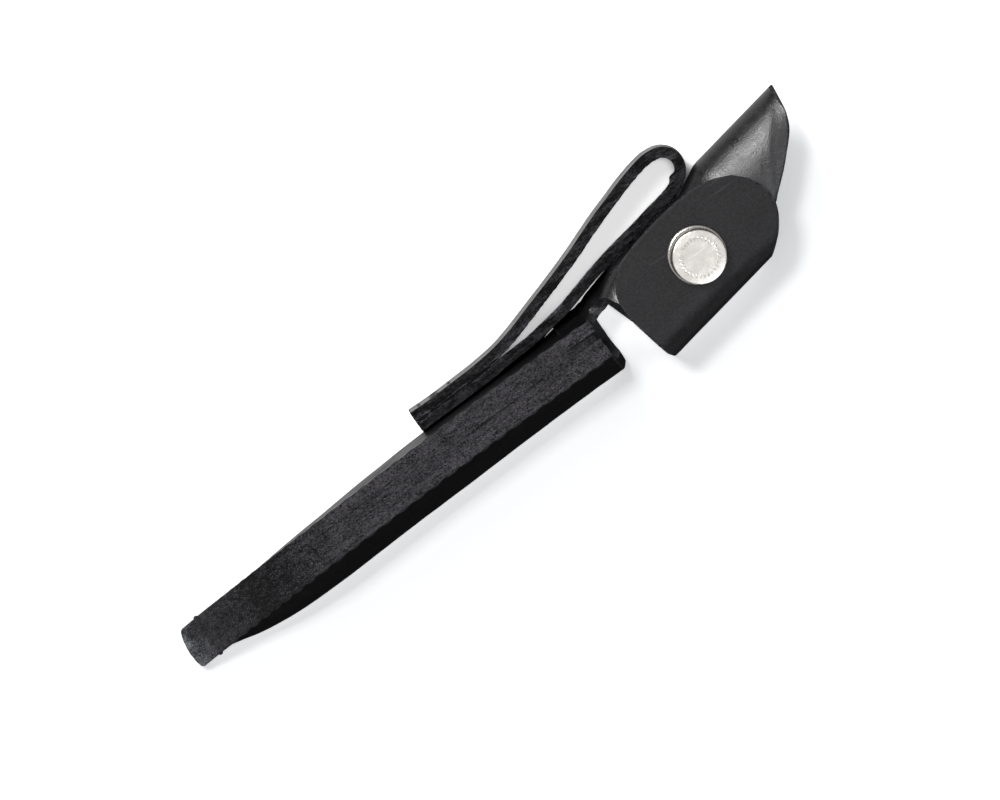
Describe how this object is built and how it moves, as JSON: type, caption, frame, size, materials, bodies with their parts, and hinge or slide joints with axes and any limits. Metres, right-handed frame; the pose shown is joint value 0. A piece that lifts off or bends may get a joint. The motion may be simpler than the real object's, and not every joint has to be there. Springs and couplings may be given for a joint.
{
  "type": "knife sheath",
  "caption": "Black leather sheath for a fixed-blade garden knife, with a welted sewn edge, a folded belt loop and a handle keeper closed by a domed snap.",
  "frame": {"origin": "centre of the bounding box in X and Y, on the surface that the sheath's folded spine rests on", "axes": "+X from the tip towards the handle keeper, +Y towards the belt, +Z from the folded spine to the sewn edge"},
  "size_m": [0.2026, 0.0466, 0.048],
  "materials": {
    "body_leather": "smooth dyed grain with fibrous cut edges",
    "welt_leather": "dyed, raw cut edges",
    "strap_leather": "smooth dyed grain with a rough flesh side",
    "thread": "waxed twist",
    "nickel": "nickel plated, polished",
    "spring_wire": "drawn wire"
  },
  "bodies": {
    "sheath": {"sheath_body": "body_leather", "welt_front": "welt_leather", "welt_back": "welt_leather", "belt_loop": "strap_leather", "edge_needle_thread": "thread", "edge_bobbin_thread": "thread", "thread_ends": "thread", "loop_needle_thread": "thread", "loop_bobbin_thread": "thread"},
    "snap_leaf": {"snap_flap": "body_leather", "snap_cap": "nickel", "cap_barrel": "nickel", "snap_socket": "nickel", "socket_spring": "spring_wire"},
    "under_leaf": {"under_flap": "body_leather", "snap_stud": "nickel", "stud_eyelet": "nickel"}
  },
  "joints": [
    {"name": "snap_flap_hinge", "type": "hinge", "parent": "sheath", "child": "snap_leaf", "pos_m": [0.06279, -0.01943, 0.0355], "axis": [0.9838, 0.1793, 0], "range_deg": [0, 110]},
    {"name": "under_flap_hinge", "type": "hinge", "parent": "sheath", "child": "under_leaf", "pos_m": [0.0652, 0.01201, 0.029], "axis": [-0.9838, -0.1793, 0], "range_deg": [0, 16.5]}
  ],
  "couplings": [
    {"joint": "under_flap_hinge", "follows": "snap_flap_hinge", "ratio": 0.15}
  ]
}
